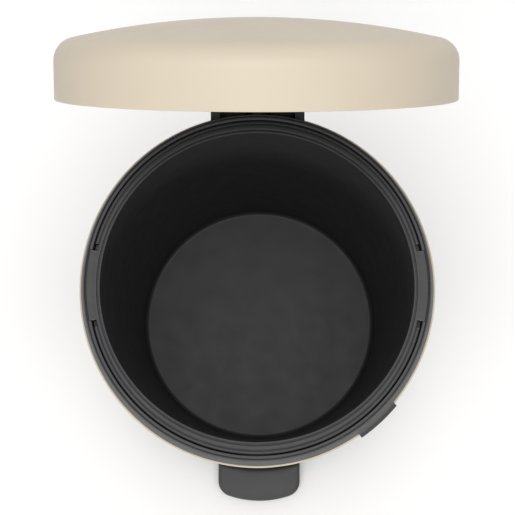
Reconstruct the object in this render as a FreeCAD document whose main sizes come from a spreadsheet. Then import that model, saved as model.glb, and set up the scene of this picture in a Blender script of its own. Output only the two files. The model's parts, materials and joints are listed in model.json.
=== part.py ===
import FreeCAD, Part
import math
import os
import re

import Sketcher

# A round twelve-litre pedal bin.  Millimetres, +Z up, the pedal points to -Y.
# The origin is on the floor, on the axis of the body.  The lid stands open.

doc = FreeCAD.newDocument("pedal_bin")
sheet = doc.addObject("Spreadsheet::Sheet", "Sheet")

DIMENSIONS = {
    # body shell
    "body_radius": 125.0,
    "body_wall": 0.6,
    "body_top": 350.4,
    "lip_radius": 125.9,
    "lip_height": 1.6,
    # base
    "base_radius": 126.8,
    "base_height": 28.0,
    "base_bore": 118.0,
    "base_floor": 3.5,
    "foot_height": 1.2,
    "foot_outer": 124.5,
    "foot_inner": 119.5,
    "plate_wall": 2.5,
    # top collar
    "collar_top": 370.0,
    "collar_bore": 117.85,
    "ridge_radius": 119.65,
    "groove_width": 0.6,
    "groove_depth": 1.4,
    "foot_radius": 125.0,
    "foot_edge": 1.6,
    "collar_wall": 1.5,
    "collar_plug": 10.0,
    "tab_radius": 128.0,
    "tab_angle": 15.0,
    "tab_turn": -47.5,
    "arm_gap_angle": 33.8,
    # inner bucket
    "bucket_mouth": 109.4,
    "bucket_rim": 116.9,
    "bucket_step": 114.2,
    "bucket_bottom_radius": 103.0,
    "bucket_bottom": 49.0,
    "bucket_wall": 1.6,
    "bucket_lip": 10.0,
    "lug_radius": 119.1,
    "lug_angle": 24.0,
    "lug_height": 3.0,
    "lug_gap": 0.3,
    "notch_start": 24.6,
    "notch_end": 30.0,
    "notch_reach": 111.2,
    # lid
    "lid_radius": 128.0,
    "lid_wall": 1.2,
    "lid_rim": 352.4,
    "lid_skirt": 36.1,
    "lid_height": 51.3,
    "lid_shoulder": 14.8,
    "liner_level": 29.4,
    "liner_wall": 1.6,
    # hinge
    "hinge_back": 138.0,
    "hinge_level": 343.0,
    "lid_turn": 73.7,
    "hinge_half_width": 33.6,
    "cheek_wall": 6.5,
    "ear_radius": 9.5,
    "pin_radius": 2.5,
    "knuckle_radius": 6.5,
    "running_gap": 0.06,
    "side_gap": 0.6,
    "bracket_bottom": 286.0,
    "bracket_screws": 296.0,
    "crank_slot_floor": 306.0,
    "crank_slot_half": 9.6,
    "arm_front": 121.0,
    "crank_reach": 17.5,
    "nose_radius": 2.5,
    # push rod
    "rod_back": 121.6,
    "rod_radius": 1.75,
    "rod_gap": 0.6,
    "head_height": 6.0,
    # pedal lever
    "pivot_back": -8.0,
    "pivot_level": 22.0,
    "pedal_tilt": 4.84,
    "lever_half_width": 11.0,
    "lever_wall": 3.0,
    "pedal_half_width": 36.8,
    "pedal_tip": 157.5,
    "pedal_root": 128.2,
    "pedal_wall": 9.0,
    "pedal_front_arc": 85.0,
    "pedal_corner": 14.0,
    "pedal_edge": 2.6,
    # fasteners
    "screw_radius": 1.8,
    "screw_head": 3.4,
}

for row, (alias, value) in enumerate(DIMENSIONS.items(), start=1):
    sheet.set(f"A{row}", alias)
    sheet.set(f"B{row}", str(value))
    sheet.setAlias(f"B{row}", alias)
doc.recompute()


def bound(text):
    """Turn dimension names in an expression into references to the sheet."""
    def refer(match):
        word = match.group(0)
        return f"Sheet.{word}" if word in DIMENSIONS else word
    return re.sub(r"[a-z_]+", refer, str(text))


def size(text):
    """The value of an expression in the sheet's names."""
    return float(sheet.evalExpression(bound(text)))


def bind(thing, **properties):
    """Bind properties of a document object to expressions in the sheet's names."""
    for name, text in properties.items():
        thing.setExpression(name, bound(text))
    return thing


def new_body(label):
    body = doc.addObject("PartDesign::Body", label)
    body.Label = label
    return body


def new_sketch(body, name, role):
    """A sketch on one of the body's own origin planes."""
    sketch = body.newObject("Sketcher::SketchObject", f"{body.Name}_{name}")
    plane = next(f for f in body.Origin.OriginFeatures if f.Role == f"{role}_Plane")
    sketch.AttachmentSupport = [(plane, "")]
    sketch.MapMode = "FlatFace"
    return sketch


def pin_point(sketch, geometry, end, corner):
    """Hold one point of the sketch at a corner given as two expressions."""
    for kind, text in zip(("DistanceX", "DistanceY"), corner):
        rule = Sketcher.Constraint(kind, -1, 1, geometry, end, size(text))
        index = sketch.addConstraint(rule)
        sketch.setExpression(f"Constraints[{index}]", bound(text))


def outline(body, name, role, corners):
    """A closed polygon whose corners are pairs of expressions."""
    sketch = new_sketch(body, name, role)
    points = [FreeCAD.Vector(size(u), size(v), 0) for u, v in corners]
    count = len(points)
    for i in range(count):
        sketch.addGeometry(Part.LineSegment(points[i], points[(i + 1) % count]), False)
    for i in range(count):
        sketch.addConstraint(Sketcher.Constraint("Coincident", i, 2, (i + 1) % count, 1))
        pin_point(sketch, i, 1, corners[i])
    return sketch


def rectangle(body, name, role, low, high):
    corners = [(low[0], low[1]), (high[0], low[1]), (high[0], high[1]), (low[0], high[1])]
    return outline(body, name, role, corners)


def circles(body, name, role, centres, radius):
    """Equal circles at centres given as pairs of expressions."""
    sketch = new_sketch(body, name, role)
    for i, centre in enumerate(centres):
        middle = FreeCAD.Vector(size(centre[0]), size(centre[1]), 0)
        sketch.addGeometry(Part.Circle(middle, FreeCAD.Vector(0, 0, 1), size(radius)), False)
        pin_point(sketch, i, 3, centre)
        index = sketch.addConstraint(Sketcher.Constraint("Radius", i, size(radius)))
        sketch.setExpression(f"Constraints[{index}]", bound(radius))
    return sketch


def feature(body, kind, name, sketch, **settings):
    made = body.newObject(f"PartDesign::{kind}", f"{body.Name}_{name}")
    made.Profile = sketch
    for key, value in settings.items():
        setattr(made, key, value)
    return made


def pad(body, name, sketch, length, both_sides=False, reverse=False):
    made = feature(body, "Pad", name, sketch, Midplane=both_sides, Reversed=reverse)
    return bind(made, Length=length)


def pocket(body, name, sketch, length, both_sides=False, reverse=False):
    made = feature(body, "Pocket", name, sketch, Midplane=both_sides, Reversed=reverse)
    return bind(made, Length=length)


def revolve(body, name, sketch, angle="360", both_sides=False):
    made = feature(body, "Revolution", name, sketch, Midplane=both_sides)
    made.ReferenceAxis = (sketch, ["V_Axis"])
    return bind(made, Angle=angle)


def groove(body, name, sketch, angle="360", both_sides=False):
    made = feature(body, "Groove", name, sketch, Midplane=both_sides)
    made.ReferenceAxis = (sketch, ["V_Axis"])
    return bind(made, Angle=angle)


def round_edges(body, name, base, radius, wanted):
    """Fillet the edges of the base feature that the test picks."""
    doc.recompute()
    names = [f"Edge{i}" for i, edge in enumerate(base.Shape.Edges, start=1) if wanted(edge)]
    made = body.newObject("PartDesign::Fillet", f"{body.Name}_{name}")
    made.Base = (base, names)
    return bind(made, Radius=radius)


def ring_at(radius, level):
    """A test for a whole circle of this radius at this height."""
    def wanted(edge):
        if edge.Degenerated or not isinstance(edge.Curve, Part.Circle):
            return False
        circle = edge.Curve
        return (abs(circle.Radius - size(radius)) < 0.01
                and abs(circle.Center.z - size(level)) < 0.01)
    return wanted


def cylinder(label, radius, height, place, axis="Z"):
    """A Part cylinder whose base centre is at place, along a row axis."""
    made = doc.addObject("Part::Cylinder", label)
    made.Label = label
    bind(made, Radius=radius, Height=height)
    turns = {"Z": (0, 0, 1, 0), "X": (0, 1, 0, 90), "Y": (1, 0, 0, -90)}
    x, y, z, angle = turns[axis]
    made.Placement = FreeCAD.Placement(FreeCAD.Vector(0, 0, 0),
                                       FreeCAD.Rotation(FreeCAD.Vector(x, y, z), angle))
    for name, text in zip("xyz", place):
        made.setExpression(f"Placement.Base.{name}", bound(text))
    return made


def box(label, low, high):
    """A Part box between two corners given as expressions."""
    made = doc.addObject("Part::Box", label)
    made.Label = label
    sides = [f"({b}) - ({a})" for a, b in zip(low, high)]
    bind(made, Length=sides[0], Width=sides[1], Height=sides[2])
    for name, text in zip("xyz", low):
        made.setExpression(f"Placement.Base.{name}", bound(text))
    return made


def fuse(label, pieces):
    made = doc.addObject("Part::MultiFuse", label)
    made.Label = label
    made.Shapes = pieces
    return made


def cut(label, base, tool):
    made = doc.addObject("Part::Cut", label)
    made.Label = label
    made.Base = base
    made.Tool = tool
    return made


def common(label, base, tool):
    made = doc.addObject("Part::Common", label)
    made.Label = label
    made.Base = base
    made.Tool = tool
    return made


def group(label, pieces):
    """Identical pieces that share one node."""
    made = doc.addObject("Part::Compound", label)
    made.Label = label
    made.Links = pieces
    return made


# ---------------------------------------------------------------- body shell

def make_body_shell():
    shell = new_body("body_shell")
    inner = "body_radius - body_wall"
    profile = outline(shell, "profile", "XZ", [
        (inner, "base_floor"),
        ("body_radius", "base_floor"),
        ("body_radius", "body_top - lip_height"),
        ("lip_radius", "body_top - lip_height"),
        ("lip_radius", "body_top"),
        (inner, "body_top"),
    ])
    revolve(shell, "wall", profile)
    arm_notch = outline(shell, "arm_notch_outline", "XZ", [
        ("-hinge_half_width + cheek_wall", "body_top - 32"),
        ("hinge_half_width - cheek_wall", "body_top - 32"),
        ("hinge_half_width - cheek_wall", "body_top + 1"),
        ("-hinge_half_width + cheek_wall", "body_top + 1"),
    ])
    pocket(shell, "arm_notch", arm_notch, "body_radius + 5")
    slot = rectangle(shell, "lever_slot_outline", "XZ",
                     ("-lever_half_width - 3", "0"),
                     ("lever_half_width + 3", "pivot_level + 18"))
    pocket(shell, "lever_slot", slot, "body_radius + 5", reverse=True)
    screw_holes = circles(shell, "screw_holes_outline", "XZ",
                          [("-20", "bracket_screws"), ("20", "bracket_screws")], "screw_radius + 0.6")
    pocket(shell, "screw_holes", screw_holes, "body_radius + 5")


BASE_SCREW_PLACES = [("84.5", "84.5"), ("-84.5", "84.5"), ("84.5", "-84.5"), ("-84.5", "-84.5")]


def make_base_ring():
    ring = new_body("base_ring")
    profile = outline(ring, "profile", "XZ", [
        ("base_bore", "foot_height"),
        ("base_radius", "foot_height"),
        ("base_radius", "base_height"),
        ("body_radius + 0.05", "base_height"),
        ("body_radius + 0.05", "base_floor"),
        ("base_bore", "base_floor"),
    ])
    wall = revolve(ring, "wall", profile)
    round_edges(ring, "soft_top", wall, "1.0", ring_at("base_radius", "base_height"))
    slot = rectangle(ring, "lever_slot_outline", "XZ",
                     ("-lever_half_width - 3", "base_floor"),
                     ("lever_half_width + 3", "base_height + 2"))
    pocket(ring, "lever_slot", slot, "base_radius + 5", reverse=True)
    holes = circles(ring, "screw_holes_outline", "XY", BASE_SCREW_PLACES, "screw_radius")
    pocket(ring, "screw_holes", holes, "base_floor + 2", reverse=True)


def make_base_plate():
    plate = new_body("base_plate")
    profile = outline(plate, "profile", "XZ", [
        ("0", "base_floor"),
        ("body_radius - body_wall - 0.2", "base_floor"),
        ("body_radius - body_wall - 0.2", "base_floor + plate_wall"),
        ("0", "base_floor + plate_wall"),
    ])
    revolve(plate, "disc", profile)
    holes = circles(plate, "screw_holes_outline", "XY", BASE_SCREW_PLACES, "screw_radius")
    pocket(plate, "screw_holes", holes, "base_floor + plate_wall + 2", reverse=True)
    seats = circles(plate, "bracket_holes_outline", "XY",
                    [("-22", "pivot_back"), ("22", "pivot_back")], "screw_radius")
    pocket(plate, "bracket_holes", seats, "base_floor + plate_wall + 2", reverse=True)


def make_non_slip_ring():
    ring = new_body("non_slip_ring")
    profile = rectangle(ring, "profile", "XZ", ("foot_inner", "0"), ("foot_outer", "foot_height"))
    revolve(ring, "ring", profile)


def make_base_screws():
    """Four plate screws and two bracket screws."""
    level = "base_floor + plate_wall"
    screws = []
    seats = [(place, level) for place in BASE_SCREW_PLACES]
    seats += [((side, "pivot_back"), f"{level} + 1.5") for side in ("-22", "22")]
    depth = "plate_wall + 1.5"
    for i, (place, seat) in enumerate(seats):
        shank = cylinder(f"base_shank_{i}", "screw_radius", depth,
                         (place[0], place[1], f"{seat} - ({depth})"))
        head = cylinder(f"base_head_{i}", "screw_head", "1.6", (place[0], place[1], seat))
        screws.append(fuse(f"base_screw_{i}", [shank, head]))
    group("base_screws", screws)


# ---------------------------------------------------------------- top collar

def make_top_collar():
    collar = new_body("collar_ring")
    plug = "body_radius - body_wall - 0.1"
    slope_inner = f"{plug} - collar_wall"
    profile = outline(collar, "profile", "XZ", [
        ("collar_bore", "body_top - 6"),
        ("collar_bore + collar_wall", "body_top - 6"),
        ("collar_bore + collar_wall", "collar_top - 7"),
        (slope_inner, "body_top + 1.2"),
        (slope_inner, "body_top - collar_plug"),
        (plug, "body_top - collar_plug"),
        (plug, "body_top"),
        ("foot_radius", "body_top"),
        ("foot_radius", "body_top + foot_edge"),
        ("ridge_radius + groove_width + 0.8", "collar_top - 1.0"),
        ("ridge_radius + groove_width", "collar_top - 0.8"),
        ("ridge_radius + groove_width", "collar_top - groove_depth"),
        ("ridge_radius", "collar_top - groove_depth"),
        ("ridge_radius", "collar_top"),
        ("collar_bore", "collar_top"),
    ])
    wall = revolve(collar, "wall", profile)
    outer_edge = ring_at("ridge_radius", "collar_top")
    inner_edge = ring_at("collar_bore", "collar_top")
    round_edges(collar, "soft_ridge", wall, "0.45", lambda e: outer_edge(e) or inner_edge(e))
    # recesses in which the bucket's two lugs hang
    lug_bed = rectangle(collar, "lug_bed_outline", "XZ",
                        ("collar_bore - 2", "collar_top - lug_height - lug_gap"),
                        ("lug_radius + lug_gap", "collar_top + 2"))
    groove(collar, "lug_bed_right", lug_bed, "lug_angle + 0.6", both_sides=True)
    far_bed = rectangle(collar, "far_lug_bed_outline", "XZ",
                        ("-lug_radius - lug_gap", "collar_top - lug_height - lug_gap"),
                        ("-collar_bore + 2", "collar_top + 2"))
    groove(collar, "lug_bed_left", far_bed, "lug_angle + 0.6", both_sides=True)
    # the gap at the back through which the lid's arm passes
    arm_gap = rectangle(collar, "arm_gap_outline", "YZ",
                        ("ridge_radius", "body_top - collar_plug - 1"),
                        ("foot_radius + 2", "collar_top - 4"))
    groove(collar, "arm_gap", arm_gap, "arm_gap_angle", both_sides=True)
    nose_window = rectangle(collar, "nose_window_outline", "XZ",
                            ("-9", "body_top - 8"), ("9", "collar_top - 8"))
    pocket(collar, "nose_window", nose_window, "foot_radius + 5")
    lobe = new_body("finger_tab")
    lobe_profile = rectangle(lobe, "profile", "XZ",
                             ("foot_radius - 2", "body_top"),
                             ("tab_radius", "body_top + foot_edge - 0.1"))
    revolve(lobe, "arc", lobe_profile, "tab_angle", both_sides=True)
    turn = FreeCAD.Rotation(FreeCAD.Vector(0, 0, 1), size("tab_turn"))
    lobe.Placement = FreeCAD.Placement(FreeCAD.Vector(0, 0, 0), turn)
    fuse("top_collar", [collar, lobe])


# -------------------------------------------------------------- inner bucket

def make_inner_bucket():
    bucket = new_body("inner_bucket")
    rim_top = "collar_top + 0.3"
    wall_outer = "bucket_mouth + bucket_wall - 0.4"
    profile = outline(bucket, "profile", "XZ", [
        ("0", "bucket_bottom"),
        ("bucket_bottom_radius", "bucket_bottom"),
        (wall_outer, "collar_top - 12"),
        (wall_outer, "collar_top - 2.5"),
        ("bucket_rim - 1.5", "collar_top - 2.5"),
        ("bucket_rim - 1.5", "collar_top - bucket_lip"),
        ("bucket_rim", "collar_top - bucket_lip"),
        ("bucket_rim", "collar_top - 0.7"),
        ("bucket_step", "collar_top - 0.7"),
        ("bucket_step", rim_top),
        ("bucket_mouth + 2.2", rim_top),
        ("bucket_mouth + 2.2", "collar_top - 0.5"),
        ("bucket_mouth + 1.5", "collar_top - 0.5"),
        ("bucket_mouth + 1.5", rim_top),
        ("bucket_mouth", rim_top),
        ("bucket_mouth - 0.4", "collar_top - 12"),
        ("bucket_bottom_radius - bucket_wall", "bucket_bottom + bucket_wall"),
        ("0", "bucket_bottom + bucket_wall"),
    ])
    wall = revolve(bucket, "wall", profile)
    round_edges(bucket, "soft_bottom", wall, "5",
                ring_at("bucket_bottom_radius", "bucket_bottom"))
    for side, inner, outer in (("right", "bucket_step - 1", "lug_radius"),
                               ("left", "-lug_radius", "-bucket_step + 1")):
        lug = rectangle(bucket, f"{side}_lug_outline", "XZ",
                        (inner, "collar_top - lug_height"), (outer, rim_top))
        revolve(bucket, f"{side}_lug", lug, "lug_angle", both_sides=True)
    # a small notch in the rim beyond each end of both lugs
    for i, (across, along) in enumerate(((1, 1), (1, -1), (-1, 1), (-1, -1))):
        near, far = f"{across} * notch_reach", f"{across} * (bucket_rim + 1.2)"
        start, end = f"{along} * notch_start", f"{along} * notch_end"
        notch = rectangle(bucket, f"lug_notch_outline_{i}", "XY", (near, start), (far, end))
        pocket(bucket, f"lug_notch_{i}", notch, "collar_top + 5", reverse=True)


# ----------------------------------------------------------------------- lid

def domed_solid(label, inset):
    """The lid's outer form, shrunk by a wall, in the closed position."""
    body = new_body(label)
    radius = f"lid_radius - {inset}"
    edge = f"lid_rim + lid_skirt - {inset}"
    crown = f"lid_rim + lid_height - {inset}"
    low = "lid_rim" if inset == "0" else "lid_rim - 1"
    sketch = new_sketch(body, "profile", "XZ")
    corners = [("0", crown), ("0", low), (radius, low), (radius, edge)]
    points = [FreeCAD.Vector(size(u), size(v), 0) for u, v in corners]
    for i in range(3):
        sketch.addGeometry(Part.LineSegment(points[i], points[i + 1]), False)
    rise = size(crown) - size(edge)
    dome = (size(radius) ** 2 + rise ** 2) / (2 * rise)
    centre = FreeCAD.Vector(0, size(crown) - dome, 0)
    start = math.atan2(points[3].y - centre.y, points[3].x)
    circle = Part.Circle(centre, FreeCAD.Vector(0, 0, 1), dome)
    sketch.addGeometry(Part.ArcOfCircle(circle, start, math.pi / 2), False)
    for i in range(3):
        pin_point(sketch, i, 1, corners[i])
        if i < 2:
            sketch.addConstraint(Sketcher.Constraint("Coincident", i, 2, i + 1, 1))
    pin_point(sketch, 2, 2, corners[3])
    sketch.addConstraint(Sketcher.Constraint("Coincident", 3, 1, 2, 2))
    sketch.addConstraint(Sketcher.Constraint("Coincident", 3, 2, 0, 1))
    sketch.addConstraint(Sketcher.Constraint("DistanceX", -1, 1, 3, 3, 0))
    solid = revolve(body, "form", sketch)
    round_edges(body, "shoulder", solid, f"lid_shoulder - {inset}", ring_at(radius, edge))
    return body


def opened(made):
    """Swing a piece modelled on the closed bin to where the open lid holds it."""
    centre = FreeCAD.Vector(0, size("hinge_back"), size("hinge_level"))
    turn = FreeCAD.Rotation(FreeCAD.Vector(1, 0, 0), -size("lid_turn"))
    made.Placement = FreeCAD.Placement(centre - turn.multVec(centre), turn)
    return made


def make_lid_shell():
    opened(cut("lid_shell", domed_solid("lid_outside", "0"), domed_solid("lid_inside", "lid_wall")))


def make_lid_liner():
    """A flat disc that closes the dome off, clear of the bucket's free lift."""
    liner = new_body("lid_liner")
    level = "lid_rim + liner_level"
    profile = rectangle(liner, "profile", "XZ", ("0", level),
                        ("lid_radius - lid_wall - 2", f"{level} + liner_wall"))
    revolve(liner, "disc", profile)
    opened(liner)


def make_lid_buffers():
    """Three rubber pegs that land on the collar's ridge."""
    reach = size("collar_bore + 0.45")
    pegs = []
    for i, angle in enumerate((50, 130, 270)):
        across = reach * math.cos(math.radians(angle))
        back = reach * math.sin(math.radians(angle))
        pegs.append(cylinder(f"lid_buffer_{i}", "1.2", "lid_rim + liner_level - collar_top - 0.4",
                             (across, back, "collar_top + 0.4")))
    opened(group("lid_buffers", pegs))


LID_SCREW_PLACES = ("-12", "12")
LID_SCREW_LEVEL = "lid_rim + 9.2"


def make_lid_hinge_arm():
    arm = new_body("hinge_arm_block")
    half = "hinge_half_width - cheek_wall - side_gap"
    knuckle = circles(arm, "knuckle_outline", "YZ", [("hinge_back", "hinge_level")],
                      "knuckle_radius")
    pad(arm, "knuckle", knuckle, f"2 * ({half})", both_sides=True)
    elbow = outline(arm, "elbow_outline", "YZ", [
        ("arm_front", "lid_rim + 6"),
        ("arm_front + 2.3", "lid_rim + 6"),
        ("arm_front + 2.3", "lid_rim - 0.5"),
        ("hinge_back - 5", "lid_rim - 0.5"),
        ("hinge_back - 1", "hinge_level - 5"),
        ("arm_front + 4", "hinge_level - 4"),
        ("arm_front", "hinge_level"),
    ])
    pad(arm, "elbow", elbow, "40", both_sides=True)
    blade = rectangle(arm, "blade_outline", "YZ",
                      ("arm_front + 1.4", "lid_rim + 1"), ("lid_radius - lid_wall - 0.1", "lid_rim + 18"))
    revolve(arm, "blade", blade, "22", both_sides=True)
    half_turn = size("lid_turn") / 2
    reach = f"crank_reach * cos({half_turn})"
    drop = f"crank_reach * sin({half_turn})"
    nose_place = (f"hinge_back - {reach}", f"hinge_level - {drop}")
    nose = circles(arm, "nose_outline", "YZ", [nose_place], "nose_radius")
    pad(arm, "nose", nose, "8", both_sides=True)
    # the crank is thin on its driven side, so that only the nose meets the rod
    across, along = f"sin({half_turn})", f"cos({half_turn})"
    crank = outline(arm, "crank_outline", "YZ", [
        (f"{nose_place[0]} - nose_radius * {across}", f"{nose_place[1]} + nose_radius * {along}"),
        (f"hinge_back - 5 * {across}", f"hinge_level + 5 * {along}"),
        (f"hinge_back + {across}", f"hinge_level - {along}"),
        (f"{nose_place[0]} + {across}", f"{nose_place[1]} - {along}"),
    ])
    pad(arm, "crank", crank, "8", both_sides=True)
    bore = circles(arm, "bore_outline", "YZ", [("hinge_back", "hinge_level")], "4")
    pocket(arm, "bore", bore, "80", both_sides=True)
    holes = [cylinder(f"arm_hole_{i}", "screw_radius", "8", (across, "120", LID_SCREW_LEVEL), "Y")
             for i, across in enumerate(LID_SCREW_PLACES)]
    opened(cut("lid_hinge_arm", arm, fuse("arm_holes", holes)))


def make_lid_screws():
    screws = []
    for i, across in enumerate(LID_SCREW_PLACES):
        head = cylinder(f"lid_head_{i}", "3", "1.4", (across, "119.9", LID_SCREW_LEVEL), "Y")
        shank = cylinder(f"lid_shank_{i}", "screw_radius", "3.5",
                         (across, "121.3", LID_SCREW_LEVEL), "Y")
        screws.append(fuse(f"lid_screw_{i}", [head, shank]))
    opened(group("lid_screws", screws))


def make_hinge_bushes():
    half = "(hinge_half_width - cheek_wall - side_gap)"
    bushes = []
    for side, start in (("left", f"-{half}"), ("right", f"{half} - 8")):
        sleeve = cylinder(f"{side}_hinge_sleeve", "4", "8", (start, "hinge_back", "hinge_level"), "X")
        hole = cylinder(f"{side}_hinge_hole", "pin_radius + running_gap", "10",
                        (f"{start} - 1", "hinge_back", "hinge_level"), "X")
        bushes.append(cut(f"{side}_hinge_bush", sleeve, hole))
    opened(group("hinge_bushes", bushes))


# ------------------------------------------------------------- hinge bracket

def loose_cylinder(label, radius, height):
    """A cylinder whose place is set afterwards."""
    made = doc.addObject("Part::Cylinder", label)
    made.Label = label
    return bind(made, Radius=radius, Height=height)


HINGE_SCREW_TURNS = (9.25, -9.25)


def radial(made, turn, reach, level):
    """Place a cylinder on a radius of the body, pointing outwards at the back."""
    lean = FreeCAD.Rotation(FreeCAD.Vector(1, 0, 0), -90)
    spin = FreeCAD.Rotation(FreeCAD.Vector(0, 0, 1), turn)
    base = spin.multVec(FreeCAD.Vector(0, reach, size(level)))
    made.Placement = FreeCAD.Placement(base, spin.multiply(lean))
    return made


def make_hinge_bracket():
    block = new_body("hinge_block")
    side = outline(block, "side_outline", "YZ", [
        ("ridge_radius + 0.3", "body_top + 0.1"),
        ("ridge_radius + 0.3", "body_top + foot_edge"),
        ("hinge_back", "body_top + foot_edge"),
        ("hinge_back + ear_radius", "hinge_level"),
        ("hinge_back + ear_radius", "crank_slot_floor"),
        ("hinge_back", "bracket_bottom + 6"),
        ("body_radius - 8", "bracket_bottom"),
        ("body_radius - 8", "body_top + 0.1"),
    ])
    pad(block, "side", side, "2 * hinge_half_width", both_sides=True)
    ear = circles(block, "ear_outline", "YZ", [("hinge_back", "hinge_level")], "ear_radius")
    pad(block, "ear", ear, "2 * hinge_half_width", both_sides=True)
    back = "hinge_back + ear_radius - 1.8"
    hollow = rectangle(block, "hollow_outline", "YZ",
                       ("ridge_radius - 1", "hinge_level - knuckle_radius - 1"),
                       (back, "collar_top + 10"))
    pocket(block, "hollow", hollow, "2 * (hinge_half_width - cheek_wall)", both_sides=True)
    crank_slot = rectangle(block, "crank_slot_outline", "YZ",
                           ("ridge_radius - 1", "crank_slot_floor"), (back, "hinge_level"))
    pocket(block, "crank_slot", crank_slot, "2 * crank_slot_half", both_sides=True)
    under_lip = "body_top - lip_height - 0.1"
    seat = outline(block, "seat_outline", "YZ", [
        ("0", "bracket_bottom - 6"),
        ("body_radius + 0.05", "bracket_bottom - 6"),
        ("body_radius + 0.05", under_lip),
        ("lip_radius + 0.1", under_lip),
        ("lip_radius + 0.1", "body_top + 0.1"),
        ("0", "body_top + 0.1"),
    ])
    groove(block, "seat", seat)
    bore = circles(block, "bore_outline", "YZ", [("hinge_back", "hinge_level")], "pin_radius")
    pocket(block, "bore", bore, "80", both_sides=True)
    holes = []
    for i, turn in enumerate(HINGE_SCREW_TURNS):
        hole = loose_cylinder(f"hinge_screw_hole_{i}", "screw_radius", "9")
        holes.append(radial(hole, turn, 122.5, "bracket_screws"))
    cut("hinge_bracket", block, fuse("hinge_screw_holes", holes))



def make_hinge_screws():
    screws = []
    for i, turn in enumerate(HINGE_SCREW_TURNS):
        head = radial(loose_cylinder(f"hinge_head_{i}", "screw_head", "1.6"),
                      turn, 122.6, "bracket_screws")
        shank = radial(loose_cylinder(f"hinge_shank_{i}", "screw_radius", "7.0"),
                       turn, 124.2, "bracket_screws")
        screws.append(fuse(f"hinge_screw_{i}", [head, shank]))
    group("hinge_screws", screws)


def make_hinge_pin():
    cylinder("hinge_pin", "pin_radius", "2 * hinge_half_width",
             ("-hinge_half_width", "hinge_back", "hinge_level"), "X")
    caps = [cylinder(f"hinge_cap_{i}", "4.5", "1.2", (start, "hinge_back", "hinge_level"), "X")
            for i, start in enumerate(("-hinge_half_width - 1.2", "hinge_half_width"))]
    group("hinge_pin_caps", caps)


def make_stay_spring():
    """The leaf behind the knuckle that holds the lid where it is put."""
    leaf = new_body("stay_spring")
    back = "hinge_back + ear_radius - 1.8"
    side = outline(leaf, "side_outline", "YZ", [
        (f"{back} - 0.8", "crank_slot_floor + 1"),
        (back, "crank_slot_floor + 1"),
        (back, "hinge_level + 4"),
        (f"{back} - 0.8", "hinge_level + 4"),
    ])
    pad(leaf, "leaf", side, "2 * crank_slot_half - 1.2", both_sides=True)


# ------------------------------------------------------------------ push rod

def make_push_rod():
    half_turn = math.radians(size("lid_turn") / 2)
    nose_level = size("hinge_level") + size("crank_reach") * math.sin(half_turn)
    head_top = nose_level - size("nose_radius") - size("rod_gap")
    tilt = math.radians(size("pedal_tilt"))
    lever_top = size("pivot_level") + LEVER_NOSE * math.sin(tilt) + LEVER_NOSE_RADIUS
    foot_low = lever_top + 0.4
    rod_low = foot_low + 3
    rod_top = head_top - 2
    rod = cylinder("push_rod", "rod_radius", rod_top - rod_low, ("0", "rod_back", rod_low))
    head = box("head_block", ("-7", "118.6", f"{head_top} - head_height"),
               ("7", "124.3", f"{head_top}"))
    cut("rod_head", head, rod)
    foot = cylinder("foot_block", "2.4", "9", ("0", "rod_back", foot_low))
    cut("rod_foot", foot, rod)


def make_rod_guides():
    guides = []
    for i, level in enumerate((60, 286)):
        block = box(f"guide_block_{i}", ("-8", "117.4", level), ("8", "125", level + 12))
        bore = cylinder(f"guide_bore_{i}", "rod_radius + running_gap", "20",
                        ("0", "rod_back", level - 4))
        inside = cylinder(f"guide_limit_{i}", "body_radius - body_wall", "20",
                          ("0", "0", level - 4))
        fitted = common(f"guide_fitted_{i}", block, inside)
        guides.append(cut(f"rod_guide_{i}", fitted, bore))
    group("rod_guides", guides)


# --------------------------------------------------------------------- pedal

LEVER_NOSE = 129.6
LEVER_NOSE_RADIUS = 2.2
PEDAL_SCREW_BACKS = (-126, -137)


def on_lever(made):
    """Swing a piece modelled on a level lever about its own pivot to rest."""
    centre = FreeCAD.Vector(0, size("pivot_back"), size("pivot_level"))
    turn = FreeCAD.Rotation(FreeCAD.Vector(1, 0, 0), size("pedal_tilt"))
    made.Placement = FreeCAD.Placement(centre, turn)


def make_pedal_lever():
    lever = new_body("lever_strip")
    half_wall = "lever_wall / 2"
    strip = outline(lever, "strip_outline", "YZ", [
        ("-142", f"-{half_wall}"),
        ("126.5", f"-{half_wall}"),
        ("126.5", half_wall),
        ("-142", half_wall),
    ])
    pad(lever, "strip", strip, "2 * lever_half_width", both_sides=True)
    knuckle = circles(lever, "knuckle_outline", "YZ", [("0", "0")], "6.5")
    pad(lever, "knuckle", knuckle, "2 * lever_half_width", both_sides=True)
    tongue = rectangle(lever, "tongue_outline", "YZ",
                       ("124", f"-{half_wall}"), (LEVER_NOSE, half_wall))
    pad(lever, "tongue", tongue, "10", both_sides=True)
    nose = circles(lever, "nose_outline", "YZ", [(LEVER_NOSE, "0")], LEVER_NOSE_RADIUS)
    pad(lever, "nose", nose, "10", both_sides=True)
    bore = circles(lever, "bore_outline", "YZ", [("0", "0")], "4")
    pocket(lever, "bore", bore, "40", both_sides=True)
    holes = circles(lever, "screw_holes_outline", "XY",
                    [("0", back) for back in PEDAL_SCREW_BACKS], "screw_radius")
    pocket(lever, "screw_holes", holes, "10", both_sides=True)
    lever.Label = "pedal_lever"
    on_lever(lever)


def make_pivot_bushes():
    bushes = []
    for side, sleeve_start, flange_start in (("left", "-lever_half_width", "-lever_half_width - 1.4"),
                                             ("right", "lever_half_width - 6", "lever_half_width")):
        sleeve = cylinder(f"{side}_pivot_sleeve", "4", "6", (sleeve_start, "0", "0"), "X")
        flange = cylinder(f"{side}_pivot_flange", "5.6", "1.4", (flange_start, "0", "0"), "X")
        hole = cylinder(f"{side}_pivot_hole", "pin_radius + running_gap", "40", ("-20", "0", "0"), "X")
        bushes.append(cut(f"{side}_pivot_bush", fuse(f"{side}_pivot_blank", [sleeve, flange]), hole))
    on_lever(group("pivot_bushes", bushes))


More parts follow.
